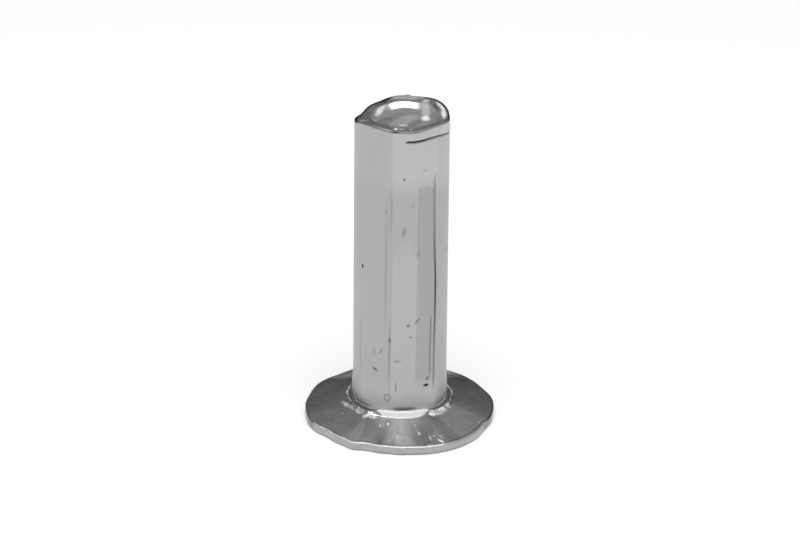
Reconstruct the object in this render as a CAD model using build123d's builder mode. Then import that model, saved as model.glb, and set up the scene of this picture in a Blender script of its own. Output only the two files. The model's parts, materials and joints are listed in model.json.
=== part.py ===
from build123d import *

import os
from math import cos, radians, sin, sqrt, tan

# Flat-head solid rivet in soft aluminium, cold-headed in one piece from drawn wire.
# It stands on the flat outer face of its head. The origin is the centre of that face, and +Z runs
# up the shank to the sheared tail end. Sizes are in millimetres and angles in degrees from +X.

# Head: a disc with an upright rim, and a shallow cone on the side towards the shank
head_diameter = 10.2
rim_height = 0.46
head_height = 1.14  # outer face to the line where the cone would meet the shank
rim_face_radius = 0.12  # rim to outer face
rim_cone_radius = 0.06  # rim to cone

# Root of the shank, where the two halves of the heading die meet
root_fillet = 0.28
flash_offset = 0.34  # shank wall to the middle of the raised flash ring
flash_radius = 0.08  # section of the ring, centred on the cone

# Shank
shank_diameter = 5.0
shank_length = 16.25  # under the head, to the middle of the tail end

# Tail end, as the wire shear leaves it
shear_angle = 150  # the side that the shear blade bit first
shear_tilt = 1.2  # the end rises away from that side
roll_radius = 1.5  # the blade dragged that side over
roll_depth = 0.52  # its drop at the wall
end_radius = 0.1  # worn corner between the end and the wall

# Dish pressed into the end by the knock-out pin
land_width = 0.4  # wall to the mouth of the dish
dish_depth = 0.24
dish_wall_slope = 34
dish_floor_radius = 0.3
dish_mouth_radius = 0.15

# Lap that the shear folded into the wall, part of the way round
lap_below_end = 0.58
lap_depth = 0.06
lap_height = 0.07
lap_start = -90
lap_sweep = 90

# Draw seams, shallow grooves that the drawing die left along the shank
seam_depth = 0.035
seam_width = 0.09
long_seam_angle = -45
long_seam_above_head = 0.4
long_seam_below_end = 2.1
short_seam_angle = -53
short_seam_above_head = 1.5
short_seam_length = 4.1

shank_radius = shank_diameter / 2
head_radius = head_diameter / 2
end_height = head_height + shank_length
cone_slope = (head_height - rim_height) / (head_radius - shank_radius)


def upright_plane(angle, height=0, tilt=0):
    """Plane through the axis at a height: its x runs outwards at the angle, downhill by the tilt."""
    turn, fall = radians(angle), radians(tilt)
    outwards = (cos(turn) * cos(fall), sin(turn) * cos(fall), -sin(fall))
    return Plane(origin=(0, 0, height), x_dir=outwards, z_dir=(sin(turn), -cos(turn), 0))


with BuildPart() as rivet:
    # Head and shank, with stock above the end for the shear to take off
    stock_top = end_height + shank_radius
    with BuildSketch(upright_plane(0)):
        with BuildLine():
            Polyline(
                (0, 0),
                (head_radius, 0),
                (head_radius, rim_height),
                (shank_radius, head_height),
                (shank_radius, stock_top),
                (0, stock_top),
                close=True,
            )
        make_face()
        rim_corners = vertices().group_by(Axis.X)[-1].sort_by(Axis.Y)
        root_corner = vertices().filter_by_position(Axis.Y, rim_height, stock_top, (False, False))
        fillet(rim_corners[0], rim_face_radius)
        fillet(rim_corners[-1], rim_cone_radius)
        fillet(root_corner, root_fillet)
    revolve(axis=Axis.Z)

    # Flash ring squeezed out between the die's halves
    flash_from_axis = shank_radius + flash_offset
    flash_height = rim_height + (head_radius - flash_from_axis) * cone_slope
    with BuildSketch(upright_plane(0)):
        with Locations((flash_from_axis, flash_height)):
            Circle(flash_radius)
    revolve(axis=Axis.Z)

    # Sheared end: nearly flat, and rolled over on the side where the blade bit
    end_plane = upright_plane(shear_angle, end_height, shear_tilt)
    roll_run = sqrt(roll_radius**2 - (roll_radius - roll_depth) ** 2)
    clear = 2 * shank_radius
    with BuildSketch(end_plane):
        with BuildLine():
            flat = Line((-clear, 0), (shank_radius - roll_run, 0))
            roll = JernArc(flat @ 1, flat % 1, roll_radius, -85)
            Polyline(roll @ 1, (clear, (roll @ 1).Y), (clear, clear), (-clear, clear), flat @ 0)
        make_face()
    extrude(amount=clear, both=True, mode=Mode.SUBTRACT)
    end_corner = edges(Select.LAST).filter_by(GeomType.LINE, reverse=True)
    fillet(end_corner, end_radius)

    # Dish, square to the sheared end
    mouth_from_axis = shank_radius - land_width
    floor_from_axis = mouth_from_axis - dish_depth / tan(radians(dish_wall_slope))
    with BuildSketch(end_plane):
        with BuildLine():
            Polyline(
                (0, -dish_depth),
                (floor_from_axis, -dish_depth),
                (mouth_from_axis, 0),
                (shank_radius, 0),
                (shank_radius, dish_depth),
                (0, dish_depth),
                close=True,
            )
        make_face()
        fillet(vertices().filter_by_position(Axis.X, floor_from_axis, floor_from_axis), dish_floor_radius)
        fillet(vertices().filter_by_position(Axis.X, mouth_from_axis, mouth_from_axis), dish_mouth_radius)
    revolve(axis=Axis(end_plane.origin, end_plane.y_dir), mode=Mode.SUBTRACT)

    # Lap, a wedge-shaped groove with its upper side square to the wall
    lap_top = end_height - lap_below_end
    with BuildSketch(upright_plane(lap_start)):
        with BuildLine():
            Polyline(
                (shank_radius - lap_depth, lap_top),
                (shank_radius + lap_depth, lap_top),
                (shank_radius + lap_depth, lap_top - 2 * lap_height),
                close=True,
            )
        make_face()
    revolve(axis=Axis.Z, revolution_arc=lap_sweep, mode=Mode.SUBTRACT)

    # Draw seams
    long_seam_start = head_height + long_seam_above_head
    short_seam_start = head_height + short_seam_above_head
    seams = (
        (long_seam_angle, long_seam_start, end_height - long_seam_below_end),
        (short_seam_angle, short_seam_start, short_seam_start + short_seam_length),
    )
    for angle, start, finish in seams:
        with BuildSketch(Plane.XY.offset(start)):
            with PolarLocations(shank_radius, 1, start_angle=angle):
                Rectangle(2 * seam_depth, seam_width)
        extrude(amount=finish - start, mode=Mode.SUBTRACT)

rivet.part.label = "rivet"
os.makedirs("parts", exist_ok=True)
export_step(rivet.part, "parts/rivet.step")
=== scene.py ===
import json
import math

import bpy
from mathutils import Matrix, Vector


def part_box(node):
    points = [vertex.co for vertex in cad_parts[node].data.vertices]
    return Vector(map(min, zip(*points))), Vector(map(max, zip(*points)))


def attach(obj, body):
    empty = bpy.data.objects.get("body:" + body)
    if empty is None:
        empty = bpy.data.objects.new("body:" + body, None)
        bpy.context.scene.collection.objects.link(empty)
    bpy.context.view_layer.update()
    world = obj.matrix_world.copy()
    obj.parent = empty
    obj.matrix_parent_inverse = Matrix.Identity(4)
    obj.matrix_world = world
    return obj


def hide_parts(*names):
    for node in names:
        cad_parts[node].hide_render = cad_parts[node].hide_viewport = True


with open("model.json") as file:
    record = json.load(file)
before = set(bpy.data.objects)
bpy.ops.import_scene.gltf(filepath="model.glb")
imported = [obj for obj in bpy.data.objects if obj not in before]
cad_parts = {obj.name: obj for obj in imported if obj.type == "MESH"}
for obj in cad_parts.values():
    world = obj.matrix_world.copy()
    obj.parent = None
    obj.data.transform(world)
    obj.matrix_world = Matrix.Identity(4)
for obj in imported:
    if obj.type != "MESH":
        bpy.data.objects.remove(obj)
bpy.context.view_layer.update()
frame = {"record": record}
mm = 0.001  # millimetres to metres
print("frame loaded")


# node helpers, for geometry, shader and world trees alike
class Wire:
    # one output socket; arithmetic on it adds Math nodes to its tree
    def __init__(self, socket):
        self.socket = socket

    def maths(self, operation, *values):
        return node(self.socket.id_data, "ShaderNodeMath", {"operation": operation}, dict(enumerate(values)))

    def __add__(self, other):
        return self.maths("ADD", self, other)

    def __sub__(self, other):
        return self.maths("SUBTRACT", self, other)

    def __rsub__(self, other):
        return self.maths("SUBTRACT", other, self)

    def __mul__(self, other):
        return self.maths("MULTIPLY", self, other)

    def __truediv__(self, other):
        return self.maths("DIVIDE", self, other)

    def __pow__(self, other):
        return self.maths("POWER", self, other)

    def __neg__(self):
        return self.maths("MULTIPLY", self, -1.0)

    def __abs__(self):
        return self.of("ABSOLUTE")

    __radd__ = __add__
    __rmul__ = __mul__

    def of(self, operation):
        # a Math node that takes one value, such as SINE
        return self.maths(operation, self)

    def atLeast(self, other):
        return self.maths("MAXIMUM", self, other)

    def atMost(self, other):
        return self.maths("MINIMUM", self, other)

    def step(self, start, end):
        # 0 before start, 1 after end, smooth between
        values = {"Value": self, "From Min": start, "From Max": end}
        if start > end:
            values.update({"From Min": end, "From Max": start, "To Min": 1.0, "To Max": 0.0})
        return node(self.socket.id_data, "ShaderNodeMapRange", {"interpolation_type": "SMOOTHSTEP"}, values)

    def hump(self, width):
        # 1 where the value is 0, falling smoothly to 0 at width either side
        return abs(self).step(width, 0.0)


def node(tree, kind, settings=None, values=None, output=0):
    # adds a node: its settings first, then its sockets' values or links by name or place
    made = tree.nodes.new(kind)
    for name, value in (settings or {}).items():
        if name == "stops":
            ramp = made.color_ramp.elements
            while len(ramp) < len(value):
                ramp.new(1.0)
            for stop, (place, colour) in zip(ramp, value):
                stop.position = place
                stop.color = (*colour, 1.0) if hasattr(colour, "__len__") else (colour, colour, colour, 1.0)
        else:
            setattr(made, name, value)
    for name, value in (values or {}).items():
        live = [s for s in made.inputs if s.enabled]
        socket = live[name] if isinstance(name, int) else next(s for s in live if s.name == name)
        if isinstance(value, Wire):
            tree.links.new(value.socket, socket)
        else:
            socket.default_value = value
    if isinstance(output, str):
        return Wire(next(s for s in made.outputs if s.enabled and s.name == output))
    return Wire([s for s in made.outputs if s.enabled][output])


def split(tree, vector):
    first = node(tree, "ShaderNodeSeparateXYZ", values={"Vector": vector})
    return [Wire(s) for s in first.socket.node.outputs]


def join(tree, x, y, z):
    return node(tree, "ShaderNodeCombineXYZ", values={"X": x, "Y": y, "Z": z})


def noise(tree, vector, scale, detail=2.0, roughness=0.5):
    # centred on 0, about -0.5 to 0.5
    made = node(tree, "ShaderNodeTexNoise", {"noise_dimensions": "3D"},
                {"Vector": vector, "Scale": scale, "Detail": detail, "Roughness": roughness})
    return made - 0.5


def turnFrom(angle, centre):
    # signed degrees from a centre angle, from -180 to 180
    tree = angle.socket.id_data
    return node(tree, "ShaderNodeMath", {"operation": "WRAP"}, {0: angle - centre, 1: 180.0, 2: -180.0})


def between(angle, start, end, soft):
    # 1 from the start angle to the end angle, with soft edges outside them
    half = (end - start) / 2
    return abs(turnFrom(angle, start + half)).step(half + soft, half)


# the rivet's form: sizes in millimetres, angles in degrees from +X
shankMount = next(m for m in frame["record"]["mounts"] if m["name"] == "shank")
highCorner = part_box("rivet")[1]

form = dict(
    headRadius=highCorner.x / mm,
    shankRadius=shankMount["dims"]["r_mm"],
    endHeight=highCorner.z / mm - 0.03,
    rimHeight=0.46,
    headHeight=1.14,
    faceCorner=0.12,
    coneCorner=0.08,
    rootCorner=0.28,
    endCorner=0.06,
    land=0.66,
    dishDepth=0.22,
    dishRun=0.34,  # width of the dish's sloping wall
    dishCorner=0.12,
    dishMouthCorner=0.08,
    lean=0.006,  # the shank stands this much out of square, towards -X
    scuffRise=0.03,  # at full strength
    segments=430,
    frontAngle=-75.0,  # the lathe's segments are finest here
    frontShare=0.38,
)

tail = dict(
    dishShift=(-50.0, 0.30),  # the pin struck off centre: direction, and distance at the middle
    biteAngle=150.0,  # side that the shear blade bit first
    biteSlope=(0.9, 0.14),  # start from the axis, drop per square millimetre
    biteEdge=(2.22, 2.8),
    rimWaves=[  # angle, rise, half width
        (-130, 0.15, 42), (-45, 0.16, 38), (-88, 0.05, 22), (42, 0.22, 44), (2, -0.08, 16), (-176, -0.07, 22),
        (100, 0.14, 55), (140, 0.15, 22),
    ],
    burr=(84, 0.07, 5),
)

lap = dict(start=-88.0, end=4.0, belowEnd=0.52, fall=0.22, depth=0.07, height=0.07)

seams = [  # angle, foot, top, depth, half width
    (-45.0, 1.9, 15.0, 0.05, 0.055),
    (-51.8, 2.7, 6.9, 0.03, 0.045),
]

root = dict(
    flashRadius=2.78,
    flashHalfWidth=0.17,
    flashRise=0.09,
    collarFrom=-121.0,  # in front the flash is a collar that stands against the shank
    collarTo=-50.0,
    collarRadius=2.60,
    collarRise=0.16,
    grooveRadius=2.63,
    grooveDepth=0.035,
    flare=0.07,  # the shank swells this much at its foot
)

rimFlats = [  # angle, depth (a bulge is negative), half width
    (-158, -0.07, 16), (-140, 0.13, 11), (-128, 0.06, 9), (-119, -0.06, 7), (-109, 0.18, 11), (-97, 0.14, 11),
    (-84, 0.08, 12), (-55, -0.08, 26), (-23, 0.11, 14), (-8, 0.03, 12), (12, -0.03, 12), (27, 0.05, 12),
    (50, -0.05, 16), (95, 0.04, 20), (132, 0.10, 16), (150, -0.02, 12), (167, 0.05, 14),
]

coneScuffs = [  # angle, radius, length outwards, width round, lean, strength
    (-154, 3.02, 0.26, 1.45, 11, 0.8),
    (-135, 2.92, 0.30, 0.65, 10, 0.7),
    (-127, 3.06, 0.38, 0.28, 0, 0.9),
    (-120, 2.94, 0.30, 0.55, -10, 0.7),
    (-101, 3.25, 0.22, 0.16, 0, 0.9),
    (-108, 3.45, 0.26, 0.12, 20, 0.35),
    (-149, 3.60, 0.10, 0.34, 20, 0.3),
    (-103.5, 4.35, 0.25, 0.09, 0, 0.35),
    (-92, 4.27, 0.25, 0.11, 0, 0.45),
    (-97, 4.60, 0.20, 0.16, 0, 0.25),
    (-74.5, 4.00, 0.22, 0.13, 0, 0.8),
    (-75, 3.35, 0.22, 0.12, 20, 0.3),
    (-68, 4.45, 0.46, 0.13, -8, 0.75),
    (-65, 4.32, 0.22, 0.12, 0, 0.45),
    (-62.8, 4.76, 0.44, 0.14, 25, 1.0),
    (-60.5, 4.52, 0.32, 0.08, 25, 0.55),
    (-61.8, 4.15, 0.34, 0.08, 12, 0.4),
    (-70.5, 4.96, 0.12, 0.34, 0, 0.8),
    (-25, 4.82, 0.16, 0.13, 0, 0.6),
    (-49, 2.80, 0.42, 0.60, 0, 1.0),
    (-41, 2.86, 0.46, 0.50, 0, 0.9),
    (-34, 2.92, 0.36, 0.45, 0, 0.75),
    (-24, 2.86, 0.38, 0.45, 0, 0.55),
]


def straight(a, b, steps):
    # points from a towards b, a included and b left out
    return [(a[0] + (b[0] - a[0]) * i / steps, a[1] + (b[1] - a[1]) * i / steps) for i in range(steps)]


def roundedCorner(before, corner, after, radius, steps):
    # points of the arc that rounds a corner of the profile
    point, first, second = Vector(corner), Vector(before) - Vector(corner), Vector(after) - Vector(corner)
    first.normalize()
    second.normalize()
    half = first.angle(second) / 2
    centre = point + (first + second).normalized() * (radius / math.sin(half))
    start = point + first * (radius / math.tan(half)) - centre
    end = point + second * (radius / math.tan(half)) - centre
    sweep = start.angle_signed(end)
    points = []
    for i in range(steps + 1):
        turn = Matrix.Rotation(-sweep * i / steps, 2)
        points.append(tuple(centre + turn @ start))
    return points


def profile():
    # (radius, height) from the centre of the head's outer face, round to the centre of the dish
    rim, wall, top = form["headRadius"], form["shankRadius"], form["endHeight"]
    mouth = wall - form["land"]
    floor = top - form["dishDepth"]
    slope = (form["headHeight"] - form["rimHeight"]) / (rim - wall)
    coneAt = [rim - 0.45, wall + 0.85]
    corners = [  # place, corner radius, arc steps, steps to the next
        ((0, 0), 0, 0, 10),
        ((rim, 0), form["faceCorner"], 4, 5),
        ((rim, form["rimHeight"]), form["coneCorner"], 5, 8),
        ((coneAt[0], form["rimHeight"] + slope * 0.45), 0, 0, 18),
        ((coneAt[1], form["headHeight"] - slope * 0.85), 0, 0, 18),
        ((wall, form["headHeight"]), form["rootCorner"], 8, 66),
        ((wall, top - 1.5), 0, 0, 26),
        ((wall, top), form["endCorner"], 5, 5),
        ((mouth, top), form["dishMouthCorner"], 4, 5),
        ((mouth - form["dishRun"], floor), form["dishCorner"], 5, 24),
        ((0, floor), 0, 0, 0),
    ]
    points = []
    for i, (place, radius, arcSteps, steps) in enumerate(corners):
        here = [place]
        if radius:
            here = roundedCorner(corners[i - 1][0], place, corners[i + 1][0], radius, arcSteps)
        if i:
            points += straight(lastPoint, here[0], lastSteps)
        points += here[:-1]
        lastPoint, lastSteps = here[-1], steps
    return points + [lastPoint]


def profileObject():
    points = profile()
    mesh = bpy.data.meshes.new("rivetProfile")
    mesh.from_pydata([(r, 0, z) for r, z in points], [(i, i + 1) for i in range(len(points) - 1)], [])
    made = bpy.data.objects.new("rivetMetal", mesh)
    bpy.context.scene.collection.objects.link(made)
    return made, len(points)


def tailShift(tree, angle, radius, across, along, base):
    # how far the tail end is moved up or down, in millimetres
    bite = math.radians(tail["biteAngle"])
    towards = across * math.cos(bite) + along * math.sin(bite)
    gentle = (towards - tail["biteSlope"][0]).atLeast(0.0)
    edge = (towards - tail["biteEdge"][0]).atLeast(0.0)
    shift = -(gentle * gentle * tail["biteSlope"][1] + edge * edge * tail["biteEdge"][1])
    outer = (radius / form["shankRadius"]).step(0.35, 1.0)
    for centre, rise, halfWidth in tail["rimWaves"]:
        shift = shift + turnFrom(angle, centre).hump(halfWidth) * outer * rise
    centre, rise, halfWidth = tail["burr"]
    burr = turnFrom(angle, centre).hump(halfWidth) * (radius - 2.42).hump(0.14)
    wave = noise(tree, base, 0.55, 1.0) * 0.16 + noise(tree, base, 2.2, 2.0) * 0.035
    return shift + burr * rise + wave * (1 - outer * 0.6)


def seamWander(height):
    # how far the draw seams stray round the shank, in millimetres
    degrees = height.step(10.8, 8.3) * 2.1
    degrees = degrees - (height - 10.0).atLeast(0.0) * 0.5 - (7.0 - height).atLeast(0.0) * 0.15
    return degrees * (-form["shankRadius"] * math.pi / 180.0)


def lapHeight(span):
    # the lap falls away to the right of its start, more and more
    return form["endHeight"] - lap["belowEnd"] - (span / 90.0).atLeast(0.0) ** 2.0 * lap["fall"]


def latheTree():
    tree = bpy.data.node_groups.new("lathe", "GeometryNodeTree")
    face = tree.interface
    face.new_socket("Geometry", in_out="INPUT", socket_type="NodeSocketGeometry")
    for name in ("Rings", "Segments"):
        face.new_socket(name, in_out="INPUT", socket_type="NodeSocketInt")
    for name in ("Front Angle", "Front Share", "Unit"):
        face.new_socket(name, in_out="INPUT", socket_type="NodeSocketFloat")
    face.new_socket("Metal", in_out="INPUT", socket_type="NodeSocketMaterial")
    face.new_socket("Geometry", in_out="OUTPUT", socket_type="NodeSocketGeometry")
    given = {s.name: Wire(s) for s in tree.nodes.new("NodeGroupInput").outputs if s.name}

    # a grid, one column a ring of the profile, that is bent round the axis
    segments = given["Segments"]
    grid = node(tree, "GeometryNodeMeshGrid", values={
        "Size X": 1.0, "Size Y": 1.0, "Vertices X": segments + 1.0, "Vertices Y": given["Rings"]})
    across, along, _ = split(tree, node(tree, "GeometryNodeInputPosition"))
    ring = ((along + 0.5) * (given["Rings"] - 1.0) + 0.5).of("FLOOR")
    spot = node(tree, "GeometryNodeSampleIndex", {"data_type": "FLOAT_VECTOR", "domain": "POINT"}, {
        "Geometry": given["Geometry"], "Value": node(tree, "GeometryNodeInputPosition"), "Index": ring})
    radius, _, height = split(tree, spot)
    ease = (across * 2 * math.pi).of("SINE")
    angle = across * 360.0 - ease * given["Front Share"] * (180.0 / math.pi) + given["Front Angle"]
    turn = angle * (math.pi / 180.0)
    cosine, sine = turn.of("COSINE"), turn.of("SINE")
    x, y = radius * cosine, radius * sine
    base = join(tree, x, y, height)

    wall, top = form["shankRadius"], form["endHeight"]
    onShank = height.step(form["headHeight"] + 0.1, form["headHeight"] + 0.3)
    onWall = radius.step(wall - 0.02, wall) * onShank

    # head: flats on the rim, waves and nicks on the cone, the flash ring and the groove inside it
    reach = radius.step(wall + 0.6, form["headRadius"]) * (1 - onShank)
    flats = 0.0
    for centre, depth, halfWidth in rimFlats:
        flats = turnFrom(angle, centre).hump(halfWidth) * depth + flats
    inwards = flats * reach
    onCone = height.step(form["rimHeight"] * 0.5, form["rimHeight"] * 1.05) * (1 - onShank)
    rise = noise(tree, base, 0.5, 1.0) * 0.02 * radius.step(wall, wall + 1.0)
    for centre, place, length, width, _, strength in coneScuffs:
        arc = turnFrom(angle, centre) * (place * math.pi / 180.0)
        away = ((arc / (width * 0.6)) ** 2.0 + ((radius - place) / (length * 0.6)) ** 2.0) ** 0.5
        rise = rise + away.hump(1.0) * (form["scuffRise"] * strength)
    lumps = noise(tree, base, 2.6, 3.0, 0.6)
    collar = between(angle, root["collarFrom"] + 8.0, root["collarTo"] - 8.0, 16.0)
    ringPlace = root["flashRadius"] - collar * (root["flashRadius"] - root["collarRadius"])
    ringPlace = ringPlace + lumps * 0.12 * (1 - collar)
    ringRise = root["flashRise"] + collar * (root["collarRise"] - root["flashRise"])
    ringRise = ringRise + lumps * 0.3 * (1 - collar * 0.9)
    flash = (radius - ringPlace).hump(root["flashHalfWidth"]) * ringRise.atLeast(0.02)
    groove = (radius - root["grooveRadius"]).hump(0.13) * (root["grooveDepth"] + lumps * 0.03) * (1 - collar)
    rise = rise + flash - groove
    headRise = rise * onCone

    # shank: draw seams, the lap and a little waviness of the wall
    wander = seamWander(height)
    dip = 0.0
    for centre, foot, head, depth, halfWidth in seams:
        arc = turnFrom(angle, centre) * (wall * math.pi / 180.0) + wander
        length = height.step(foot, foot + 0.9) * height.step(head, head - 0.7)
        dip = arc.hump(halfWidth * 1.5) * length * depth + dip
    lapSpan = turnFrom(angle, lap["start"])
    lapOn = lapSpan.step(0.0, 5.0) * lapSpan.step(lap["end"] - lap["start"], lap["end"] - lap["start"] - 25.0)
    below = lapHeight(lapSpan) - height
    dip = dip + (below - lap["height"] * 0.5).hump(lap["height"]) * lapOn * lap["depth"]
    bead = below.step(0.06, -0.04) * lapSpan.step(10.0, 45.0) * lapSpan.step(150.0, 100.0)
    dip = dip + bead * ((-below).atLeast(0.0) * 0.05 - 0.02)
    dip = dip - noise(tree, join(tree, x, y, height * 0.12), 0.7, 1.0) * 0.05
    dip = dip - height.step(3.0, 1.5) * root["flare"] * (1 - between(angle, -120.0, -60.0, 20.0))

    hold = height.step(top - 2.2, top - 0.4)
    endRise = tailShift(tree, angle, radius, x, y, base) * hold
    newRadius = radius - inwards - dip * onWall
    unit = given["Unit"]
    within = (1 - (radius / wall) ** 4.0).atLeast(0.0) * height.step(top - 1.0, top - 0.5)
    struck, distance = math.radians(tail["dishShift"][0]), tail["dishShift"][1]
    leanX = height.step(0.9, 1.5) * -0.03 - (height - 1.4).atLeast(0.0) * form["lean"]
    newX = newRadius * cosine + within * (distance * math.cos(struck)) + leanX
    newY = newRadius * sine + within * (distance * math.sin(struck))
    closed = grid  # the attributes are stored while the position is still a place on the grid
    for name, value in (("latheRadius", radius), ("latheHeight", height)):
        closed = node(tree, "GeometryNodeStoreNamedAttribute", {"data_type": "FLOAT", "domain": "POINT"}, {
            "Geometry": closed, "Name": name, "Value": value})
    closed = node(tree, "GeometryNodeSetPosition", values={
        "Geometry": closed,
        "Position": join(tree, newX * unit, newY * unit, (height + headRise + endRise) * unit)})
    closed = node(tree, "GeometryNodeMergeByDistance", values={"Geometry": closed, "Distance": 1e-7})
    closed = node(tree, "GeometryNodeSetShadeSmooth", values={"Geometry": closed, "Shade Smooth": True})
    closed = node(tree, "GeometryNodeRealizeInstances", values={"Geometry": closed})
    closed = node(tree, "GeometryNodeSetMaterial", values={"Geometry": closed, "Material": given["Metal"]})
    out = tree.nodes.new("NodeGroupOutput")
    tree.links.new(closed.socket, out.inputs[0])
    return tree


def latheRivet(metal):
    piece, rings = profileObject()
    tree = latheTree()
    lathe = piece.modifiers.new("lathe", "NODES")
    lathe.node_group = tree
    given = {"Rings": rings, "Segments": form["segments"], "Front Angle": form["frontAngle"],
             "Front Share": form["frontShare"], "Unit": mm, "Metal": metal}
    for item in tree.interface.items_tree:
        if item.item_type == "SOCKET" and item.in_out == "INPUT" and item.name in given:
            lathe[item.identifier] = given[item.name]
    graph = bpy.context.evaluated_depsgraph_get()
    turned = piece.evaluated_get(graph)
    mesh = bpy.data.meshes.new_from_object(turned, preserve_all_data_layers=True, depsgraph=graph)
    piece.modifiers.clear()
    piece.data = mesh
    triangles = sum(len(p.vertices) - 2 for p in mesh.polygons)
    print("rivet turned:", len(mesh.vertices), "points,", triangles, "triangles")
    return piece


# the metal: drawn on the shank, rubbed on the head, torn and frosted on the sheared end; its colour also carries
# painted highlights, painted reflections and painted shade
finish = dict(
    colour=(0.515, 0.52, 0.525),
    warmColour=(0.53, 0.525, 0.51),
    scuffColour=(0.93, 0.93, 0.92),  # crushed metal scatters light like a pale solid; also the colour of the painted highlights
    shankRoughness=0.46,
    coneRoughness=0.2,
    endRoughness=0.24,
    rimRoughness=0.34,
    darkMark=0.10,  # share of the colour that is left in a seam, in a pit and under painted shade
    endFrost=0.17,
)

shankMarks = [  # angle, height, length, width, lean from upright, darkness
    (-144, 9.4, 0.22, 0.15, 0, 1.0),
    (-89, 14.8, 0.12, 0.11, 0, 0.65),
    (-64, 15.2, 0.12, 0.18, 0, 0.25),
    (-88.3, 11.8, 0.55, 0.22, 10, 0.28),
    (-15, 10.1, 0.14, 0.50, -8, 0.4),
    (-81, 6.4, 0.15, 0.24, 0, 0.42),
    (-70.3, 6.6, 0.45, 0.10, 50, 0.4),
    (-78, 5.7, 0.08, 0.22, 0, 0.35),
    (-94.4, 4.3, 0.08, 0.42, 0, 0.3),
    (-122.5, 3.67, 0.36, 0.11, -60, 0.5),
    (-114.3, 4.8, 0.45, 0.12, 20, 0.25),
    (-124, 4.7, 0.70, 0.16, 0, 0.12),
    (-56, 2.72, 0.13, 0.32, 0, 1.0),
    (-54, 3.1, 0.25, 0.25, -10, 0.35),
    (-95, 2.75, 0.60, 0.10, 0, 0.35),
    (-104, 4.8, 3.4, 0.09, 0, 0.26),
    (-103.5, 5.5, 0.24, 0.13, 0, 0.4),
    (-109.5, 9.5, 7.0, 0.13, 0, 0.14),
    (-104.5, 13.0, 2.6, 0.16, 0, 0.12),
    (-147.5, 4.8, 3.6, 0.20, 0, 0.12),
    (-78, 13.3, 0.35, 0.18, 10, 0.15),
    (-70, 10.5, 0.5, 0.22, 5, 0.14),
    (-110, 12.9, 0.35, 0.12, 20, 0.2),
    (-27, 5.0, 0.5, 0.5, 0, 0.1),
    (-84, 1.47, 0.20, 1.2, 0, 0.6),
]

shankScuffs = [  # laid out as the marks are, with strengths for lightness
    (-149, 9.3, 0.16, 0.16, 0, 0.3),
    (-48.5, 6.5, 0.55, 0.07, 0, 0.4),
    (-49, 4.8, 3.2, 0.05, 0, 0.15),
]

ding = dict(angle=-105.5, height=2.1, radius=0.17, width=0.10, strength=0.38)

endHighlights = [  # painted highlights and reflections on the end: x, y, length towards +Y, width, lean, strength
    (1.08, 0.02, 0.62, 0.48, 5, 0.8),
    (1.10, 0.80, 1.60, 0.44, -2, 0.38),
    (1.08, 1.62, 0.34, 0.40, 0, 0.6),
    (1.84, 0.98, 0.85, 0.18, -26, 0.8),
    (2.03, 0.30, 1.05, 0.24, -5, 1.0),
    (-0.45, -2.08, 0.40, 0.18, 0, 1.0),
    (-0.12, -2.02, 0.34, 0.42, 0, 0.6),
    (0.32, -2.10, 0.30, 0.12, 0, 0.4),
    (-0.05, -0.90, 0.26, 0.50, 0, 0.45),
    (0.05, -0.15, 2.30, 0.80, 48, 0.2),
    (-1.28, 0.85, 1.30, 0.26, 23, 0.7),
    (0.15, 2.42, 0.10, 1.50, 5, 0.3),
    (0.10, 2.15, 0.60, 2.60, 0, 0.35),
    (1.75, 1.55, 0.80, 0.25, -45, 0.2),
]

darkEndReflections = [  # painted dark reflections and shade on the end, laid out as above, with strengths for darkness
    (-1.03, 1.72, 0.40, 0.20, 25, 0.95),
    (1.62, 0.85, 0.95, 0.18, -24, 0.9),
    (1.05, -1.40, 1.30, 0.55, 52, 0.4),
    (0.15, -2.02, 0.40, 0.10, 10, 0.7),
    (-0.05, -2.36, 0.09, 0.60, 0, 0.8),
    (-0.10, -1.76, 0.08, 0.50, 0, 0.45),
    (0.15, 1.25, 0.45, 1.10, 60, 0.2),
    (-1.85, -1.22, 0.90, 0.09, -52, 0.45),
    (0.95, 2.15, 0.12, 0.90, -20, 0.3),
    (-0.30, 2.30, 0.06, 1.20, 4, 0.2),
]

endEdgeReflections = [  # painted dark reflection along the rolled-over edge: from angle, to angle, width of the dark line, darkness
    (112, 172, 0.40, 1.0),
    (172, 196, 0.20, 1.0),
    (-12, 60, 0.24, 0.9),
    (-170, -102, 0.05, 0.55),
    (-100, -14, 0.06, 0.6),
]


coneDarkReflections = [  # painted dark reflections on the back of the cone, laid out as the end's marks
    (3.25, 2.95, 0.42, 1.30, 0, 0.95),
    (-3.10, 3.30, 0.36, 1.30, -35, 0.5),
]


def strokes(entries, sideFrom, up):
    # soft strokes laid out on a surface, whose sides are measured from a place by sideFrom
    total = 0.0
    for sidePlace, upPlace, length, width, lean, strength in entries:
        side, rise = sideFrom(sidePlace), up - upPlace
        cosine, sine = math.cos(math.radians(lean)), math.sin(math.radians(lean))
        longWay = (rise * cosine + side * sine) / (length / 2)
        wideWay = (side * cosine - rise * sine) / (width / 2)
        spread = (longWay * longWay + wideWay * wideWay) ** 0.5
        total = spread.step(1.4, 0.5) * strength + total
    return total.atMost(1.0)


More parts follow.
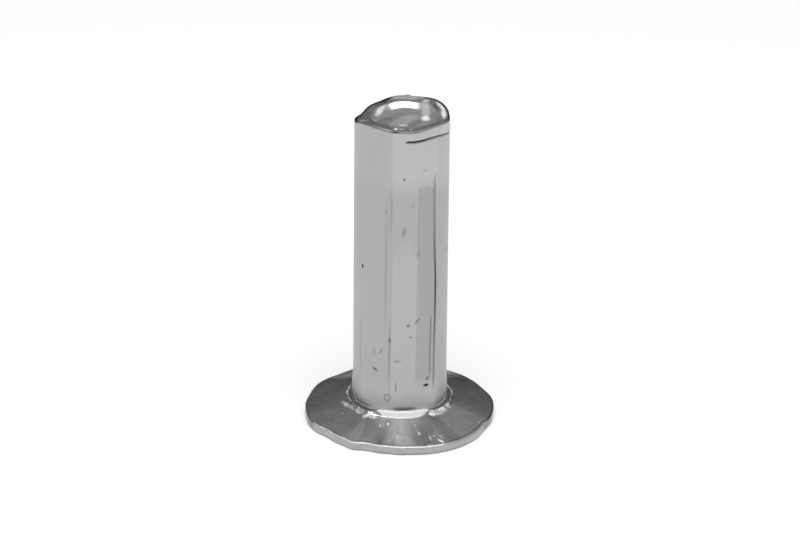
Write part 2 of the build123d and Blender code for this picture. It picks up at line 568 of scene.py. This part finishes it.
def metalMaterial():
    material = bpy.data.materials.new("drawnAluminium")
    material.use_nodes = True
    tree = material.node_tree
    tree.nodes.clear()
    place = node(tree, "ShaderNodeTexCoord", output="Object")
    x, y, z = [value / mm for value in split(tree, place)]
    angle = y.maths("ARCTAN2", y, x) * (180.0 / math.pi)
    radius = node(tree, "ShaderNodeAttribute", {"attribute_name": "latheRadius"}, output="Fac")
    height = node(tree, "ShaderNodeAttribute", {"attribute_name": "latheHeight"}, output="Fac")
    point = join(tree, x, y, z)
    wall, top, rim = form["shankRadius"], form["endHeight"], form["headRadius"]
    degree = math.pi / 180.0

    onEnd = radius.step(wall - 0.01, wall - 0.06) * height.step(top - 0.6, top - 0.5)
    onShank = height.step(form["headHeight"], form["headHeight"] + 0.2) * (1 - onEnd)
    onRim = radius.step(rim - 0.05, rim - 0.01)
    onFace = height.step(0.03, 0.0)
    onCone = (1 - onShank) * (1 - onEnd) * (1 - onRim) * (1 - onFace)
    ragged = noise(tree, join(tree, x, y, z * 0.5), 1.8, 4.0, 0.6)
    residue = noise(tree, point, 3.2, 4.0, 0.65)
    lumps = noise(tree, join(tree, x, y, height), 2.6, 3.0, 0.6)
    streak = noise(tree, join(tree, x, y, z * 0.03), 3.0, 3.0, 0.6)
    cloud = noise(tree, join(tree, x, y, z * 0.3), 0.8, 2.0)

    # shank: seams, the lap and small marks
    wander = seamWander(z)
    seamDark, seamDip = 0.0, 0.0
    for centre, foot, head, depth, halfWidth in seams:
        side = turnFrom(angle, centre) * (wall * degree) + wander
        length = z.step(foot, foot + 1.2) * z.step(head, head - 0.4)
        strength = 0.40 + (z - 8.6).hump(4.5) * 0.5
        seamDark = side.hump(halfWidth * 1.2) * length * strength * (depth / 0.05) + seamDark
        seamDip = side.hump(halfWidth * 1.4) * length + seamDip
    shankDark = strokes(shankMarks, lambda centre: turnFrom(angle, centre) * (wall * degree), z)
    shankLight = strokes(shankScuffs, lambda centre: turnFrom(angle, centre) * (wall * degree), z)
    across = turnFrom(angle, ding["angle"]) * (wall * degree)
    fromDing = (across * across + (z - ding["height"]) ** 2.0) ** 0.5
    dingRing = (fromDing - ding["radius"]).hump(ding["width"]) * ding["strength"]
    dingRing = dingRing * (0.7 + ragged * 2.0).atLeast(0.0)
    lapSpan = turnFrom(angle, lap["start"])
    lapLine = lapHeight(lapSpan)
    lapReach = lap["end"] - lap["start"]
    lapFade = lapSpan.step(-1.0, 3.0) * lapSpan.step(lapReach, lapReach - 12.0)
    lapThin = lapSpan.step(26.0, 40.0)
    lapSwell = (lapSpan - 14.0).hump(26.0)  # widest a little way from its start
    lapPlace = abs(height - lapLine + 0.05) / (0.028 + lapSwell * 0.026)
    # painted shade in the lap's crease, and a painted highlight just above it
    lapShade = lapPlace.step(1.3, 0.4) * lapFade * (1 - lapThin * 0.25)
    lapHighlight = (height - lapLine - 0.03).hump(0.05) * lapFade * lapThin * 0.35

    # shank: painted reflections, a darker patch in front with a ragged top, darker to the right, lighter down its
    # middle; painted shade towards both sides and painted light near the top, above the lap and at the foot in
    # front
    patchTop = z + ragged * 0.5
    darkReflectionRight = between(angle, -70.5, -46.0, 1.5) * patchTop.step(14.35, 14.15) * patchTop.step(2.4, 3.6)
    darkReflectionLeft = between(angle, -103.5, -70.5, 1.5) * patchTop.step(14.0, 13.8)
    tongue = abs(turnFrom(angle, -86.0)) * 0.05 + z
    lightReflectionMiddle = between(angle, -99.0, -71.0, 4.0) * tongue.step(12.0, 10.6) * z.step(1.6, 3.0)
    lightAboveLap = (height - lapLine).step(0.0, 0.12) * turnFrom(angle, -20.0).hump(60.0)
    sideShadeLeft = between(angle, -190.0, -104.0, 3.0)
    sideShadeRight = between(angle, -42.0, 10.0, 3.0) * z.step(14.2, 13.4)
    shankTone = (0.98 + streak * 0.09 + cloud * 0.06 + ragged * 0.03 + z.step(13.5, 15.0) * 0.06
                 - darkReflectionRight * 0.15 - darkReflectionLeft * 0.05 + lightReflectionMiddle * 0.06 - sideShadeLeft * 0.06 - sideShadeRight * 0.08
                 + lightAboveLap * 0.14 + z.step(3.6, 1.8) * between(angle, -140.0, -45.0, 15.0) * 0.2
                 + between(angle, -103.5, -46.0, 4.0) * z.step(14.0, 15.0) * 0.05)

    # head: a dull film with painted reflection bands, flash lumps, a painted highlight on the collar, a painted
    # highlight round the corner of the rim with painted shade inside it, painted shade in the groove and painted
    # dark reflections at the back
    # painted reflection bands: darker and lighter by angle round the cone
    coneTone = 0.96 + residue * 0.5 + cloud * 0.5 - between(angle, -103.0, -76.0, 6.0) * 0.2
    coneTone = coneTone + between(angle, -48.0, -19.0, 2.0) * 0.25 + between(angle, -123.0, -106.0, 5.0) * 0.4
    coneTone = coneTone + between(angle, -75.0, -60.0, 4.0) * 0.2
    coneLight = strokes(coneScuffs, lambda centre: turnFrom(angle, centre) * radius * degree, radius)
    coneLight = coneLight * (0.62 + residue * 3.6).atLeast(0.0)
    collar = between(angle, root["collarFrom"] + 6.0, root["collarTo"] - 6.0, 6.0)
    collarOut = 0.30 - abs(turnFrom(angle, (root["collarFrom"] + root["collarTo"]) / 2)) ** 2.0 * 0.00018
    insideCollar = (radius - wall - collarOut + ragged * 0.08).step(0.05, -0.03)
    # painted highlight: a bright crescent on the collar in front of the shank
    collarHighlight = 1.2 * collar * insideCollar * radius.step(wall - 0.06, wall - 0.02)
    ringLight = (radius - root["flashRadius"] - lumps * 0.12).hump(0.09) * (1 - collar) * (0.4 + residue * 1.5)
    # painted highlight along the corner of the rim, brightest in front
    cornerHeight = form["rimHeight"] - 0.01
    corner = height.step(cornerHeight - 0.05, cornerHeight - 0.01) * radius.step(rim - 0.10, rim - 0.07)
    rimCornerHighlight = corner * between(angle, -150.0, -66.0, 6.0) * (0.6 + residue * 1.2)
    rimCornerHighlight = rimCornerHighlight + corner * between(angle, -64.0, -22.0, 4.0) * 0.3
    # painted shade inside the rim corner and in the groove, and a painted dark reflection along the back edge of
    # the rim
    shadeInsideCorner = (radius - rim + 0.17).hump(0.09) * (0.35 + residue * 1.2)
    rimShade = (radius - rim + 0.13).hump(0.12) * between(angle, -60.0, -22.0, 3.0) * 0.55
    grooveShade = (radius - root["grooveRadius"]).hump(0.12) * (0.12 + residue * 0.6) * (1 - collar)
    edgeReach = between(angle, -20.0, 62.0, 6.0) * 0.85 + between(angle, 122.0, 196.0, 6.0) * 0.5
    backEdgeReflection = (radius - rim + 0.06).hump(0.09) * edgeReach
    # painted dark reflections on the back of the cone
    coneReflectionDark = strokes(coneDarkReflections, lambda centre: x - centre, y)
    shadeInsideCorner = shadeInsideCorner.atLeast(0.0) * between(angle, -150.0, -66.0, 4.0) * 0.5
    coneShade = backEdgeReflection + coneReflectionDark + rimShade + grooveShade.atLeast(0.0) + shadeInsideCorner
    # painted shade along the lower corner of the rim, next to the floor
    faceCorner = height.step(form["faceCorner"], 0.0) * (1 - onFace) * (1 - onShank) * 0.9
    rimTone = 0.8 + noise(tree, join(tree, x, y, z * 8.0), 1.4, 3.0, 0.6) * 0.6
    rimTone = rimTone - between(angle, -179.0, -156.0, 6.0) * 0.3 - between(angle, -24.0, -14.0, 4.0) * 0.3

    # sheared end: torn and frosted, with painted highlights, painted dark reflections and a painted dark
    # reflection along the rolled-over edge
    endLight = strokes(endHighlights, lambda centre: x - centre, y)
    endReflectionDark = strokes(darkEndReflections, lambda centre: x - centre, y)
    # painted dark reflection along the rolled-over edge of the end
    edgeReflectionDark = 0.0
    for start, end, width, strength in endEdgeReflections:
        line = radius.step(wall - width, wall - width * 0.5) * height.step(top - 0.14, top - 0.04)
        edgeReflectionDark = between(angle, start, end, 8.0) * line * strength + edgeReflectionDark
    pull = noise(tree, join(tree, (x + y) * 0.35, (y - x) * 1.6, z), 1.6, 3.0, 0.6)
    inDish = radius.step(wall - form["land"], wall - form["land"] - 0.1)
    endTone = 1.0 + pull * 0.5 * inDish + residue * 0.25
    frost = (finish["endFrost"] + pull * 0.3) * (0.5 + inDish * 0.5)
    endLight = endLight * (0.85 + residue * 1.6) + frost

    dark = ((seamDark + shankDark + dingRing + lapShade).atMost(1.0) * onShank
            + (coneShade * onCone + faceCorner) + endReflectionDark * onEnd + edgeReflectionDark).atMost(1.0)
    headLight = (coneLight + ringLight.atLeast(0.0) * 0.5 + rimCornerHighlight + collarHighlight).atMost(1.0)
    light = (headLight * (1 - onShank) * (1 - onEnd) + (shankLight + lapHighlight) * onShank
             + endLight.atLeast(0.0).atMost(1.0) * onEnd).atMost(1.0) * (1 - edgeReflectionDark.atMost(1.0))
    tone = onShank * shankTone + onCone * coneTone + onEnd * endTone + (onRim + onFace).atMost(1.0) * rimTone
    tone = tone * (1 - dark * (1 - finish["darkMark"]))
    tint = node(tree, "ShaderNodeMix", {"data_type": "RGBA"}, {
        "Factor": (0.3 + cloud * 1.6 + residue * 0.6).atLeast(0.0).atMost(1.0),
        "A": (*finish["colour"], 1), "B": (*finish["warmColour"], 1)})
    metal = node(tree, "ShaderNodeVectorMath", {"operation": "SCALE"}, {0: tint, "Scale": tone})
    colour = node(tree, "ShaderNodeMix", {"data_type": "RGBA"}, {
        "Factor": light, "A": metal, "B": (*finish["scuffColour"], 1)})

    roughness = (onShank * (finish["shankRoughness"] + streak * 0.12 + cloud * 0.08)
                 + onCone * (finish["coneRoughness"] + residue * 0.06)
                 + onEnd * (finish["endRoughness"] + residue * 0.08)
                 + (onRim + onFace).atMost(1.0) * finish["rimRoughness"])
    roughness = roughness + (dark + light) * 0.25

    # fine relief, in millimetres
    drawn = noise(tree, join(tree, x, y, z * 0.02), 9.0, 1.0, 0.5) * 0.0015 * onShank
    rubbed = noise(tree, point, 5.0, 1.0, 0.5) * 0.0006 * (1 - onShank)
    pitted = (shankDark * 0.03 + seamDip * 0.02) * onShank
    relief = node(tree, "ShaderNodeBump", values={
        "Strength": 1.0, "Distance": mm, "Height": drawn + rubbed - pitted})
    surface = node(tree, "ShaderNodeBsdfPrincipled", values={
        "Base Color": colour, "Metallic": 1 - light, "Roughness": roughness, "Normal": relief})
    out = tree.nodes.new("ShaderNodeOutputMaterial")
    tree.links.new(surface.socket, out.inputs["Surface"])
    return material


rivet = latheRivet(metalMaterial())
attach(rivet, "root")
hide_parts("rivet")
print("rivet finished")


# floor, light and camera
studio = dict(
    floorSize=1.2,
    floorColour=(0.86, 0.86, 0.86),
    floorGlow=0.27,  # lifts the floor to white where the camera or a reflection sees it
    softboxSize=0.34,
    softboxPlace=(0.0, -0.09, 0.36),
    softboxPower=1.05,
    walls=[  # sine of the height angle, brightness: a dark line at the horizon, dull walls, a light ceiling
        (0.0, 0.0), (0.13, 0.003), (0.165, 0.16), (0.46, 0.16), (0.50, 0.28), (0.74, 0.30), (0.88, 0.4),
    ],
)


def floorMaterial():
    material = bpy.data.materials.new("paleFloor")
    material.use_nodes = True
    tree = material.node_tree
    tree.nodes.clear()
    seen = {s.name: Wire(s) for s in tree.nodes.new("ShaderNodeLightPath").outputs}
    shown = (seen["Is Camera Ray"] + seen["Is Glossy Ray"] + seen["Is Transmission Ray"]).atMost(1.0)
    surface = node(tree, "ShaderNodeBsdfPrincipled", values={
        "Base Color": (*studio["floorColour"], 1), "Roughness": 0.9, "Specular IOR Level": 0.0,
        "Emission Color": shown * studio["floorGlow"], "Emission Strength": 1.0})
    out = tree.nodes.new("ShaderNodeOutputMaterial")
    tree.links.new(surface.socket, out.inputs["Surface"])
    return material


def addFloor():
    half = studio["floorSize"] / 2
    mesh = bpy.data.meshes.new("floor")
    mesh.from_pydata([(-half, -half, 0), (half, -half, 0), (half, half, 0), (-half, half, 0)], [], [(0, 1, 2, 3)])
    mesh.materials.append(floorMaterial())
    floor = bpy.data.objects.new("floor", mesh)
    bpy.context.scene.collection.objects.link(floor)


def addWorld():
    world = bpy.data.worlds.new("studioWalls")
    bpy.context.scene.world = world
    world.use_nodes = True
    tree = world.node_tree
    tree.nodes.clear()
    _, _, up = split(tree, node(tree, "ShaderNodeTexCoord", output="Generated"))
    tone = node(tree, "ShaderNodeValToRGB", {"stops": studio["walls"]}, {0: up})
    back = node(tree, "ShaderNodeBackground", values={"Color": tone, "Strength": 1.0})
    out = tree.nodes.new("ShaderNodeOutputWorld")
    tree.links.new(back.socket, out.inputs["Surface"])


def addSoftbox():
    lamp = bpy.data.lights.new("softbox", "AREA")
    lamp.shape = "DISK"
    lamp.size = studio["softboxSize"]
    lamp.energy = studio["softboxPower"]
    softbox = bpy.data.objects.new("softbox", lamp)
    softbox.location = studio["softboxPlace"]
    softbox.rotation_euler = (-Vector(studio["softboxPlace"])).to_track_quat("-Z", "Y").to_euler()
    bpy.context.scene.collection.objects.link(softbox)


view = dict(
    target=(0.0, 0.0, 9.0 * mm),  # the camera's distance and height angle are from this point
    distance=197.7 * mm,
    elevation=24.5,
    aim=(-0.104 * mm, 0.0, 8.23 * mm),
    roll=1.0,
    fieldOfView=12.268,
)


def addCamera():
    lens = bpy.data.cameras.new("camera")
    lens.angle = math.radians(view["fieldOfView"])
    lens.clip_start = 0.01
    camera = bpy.data.objects.new("camera", lens)
    rise = math.radians(view["elevation"])
    camera.location = Vector(view["target"]) + Vector((0, -math.cos(rise), math.sin(rise))) * view["distance"]
    aimed = (Vector(view["aim"]) - camera.location).to_track_quat("-Z", "Y").to_matrix()
    camera.rotation_euler = (aimed @ Matrix.Rotation(math.radians(view["roll"]), 3, "Z")).to_euler()
    bpy.context.scene.collection.objects.link(camera)
    bpy.context.scene.camera = camera


addFloor()
addWorld()
addSoftbox()
addCamera()
bpy.context.scene.view_settings.view_transform = "Standard"
print("studio set")
